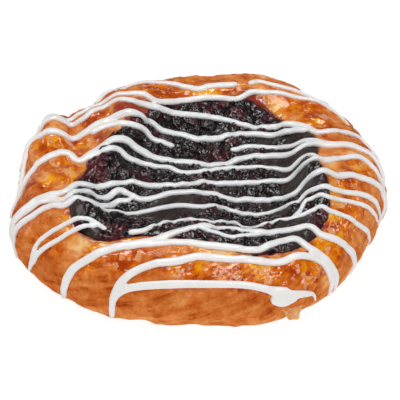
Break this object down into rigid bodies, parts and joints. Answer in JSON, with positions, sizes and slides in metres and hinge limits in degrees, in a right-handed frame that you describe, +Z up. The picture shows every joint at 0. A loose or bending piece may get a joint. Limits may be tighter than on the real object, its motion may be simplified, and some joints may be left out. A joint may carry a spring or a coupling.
{
  "type": "blueberry snail danish",
  "caption": "Round coiled danish pastry with a hollow full of blueberry filling, crossed by thin strands of white icing.",
  "frame": {"origin": "middle of the base, on the surface that the danish rests on", "axes": "+Z up; the picture's front is at -Y and its right at +X"},
  "size_m": [0.124, 0.1205, 0.0292],
  "materials": {
    "crust": "baked golden crust under a thin clear glaze, with white icing strands on it",
    "blueberry": "glossy, nearly black cooked blueberries in gel, with white icing strands on them",
    "icing": "opaque white sugar icing with a soft shine, in strands fused to the crust and the filling"
  },
  "bodies": {
    "root": {"dough": "crust", "filling": "blueberry"}
  },
  "joints": []
}
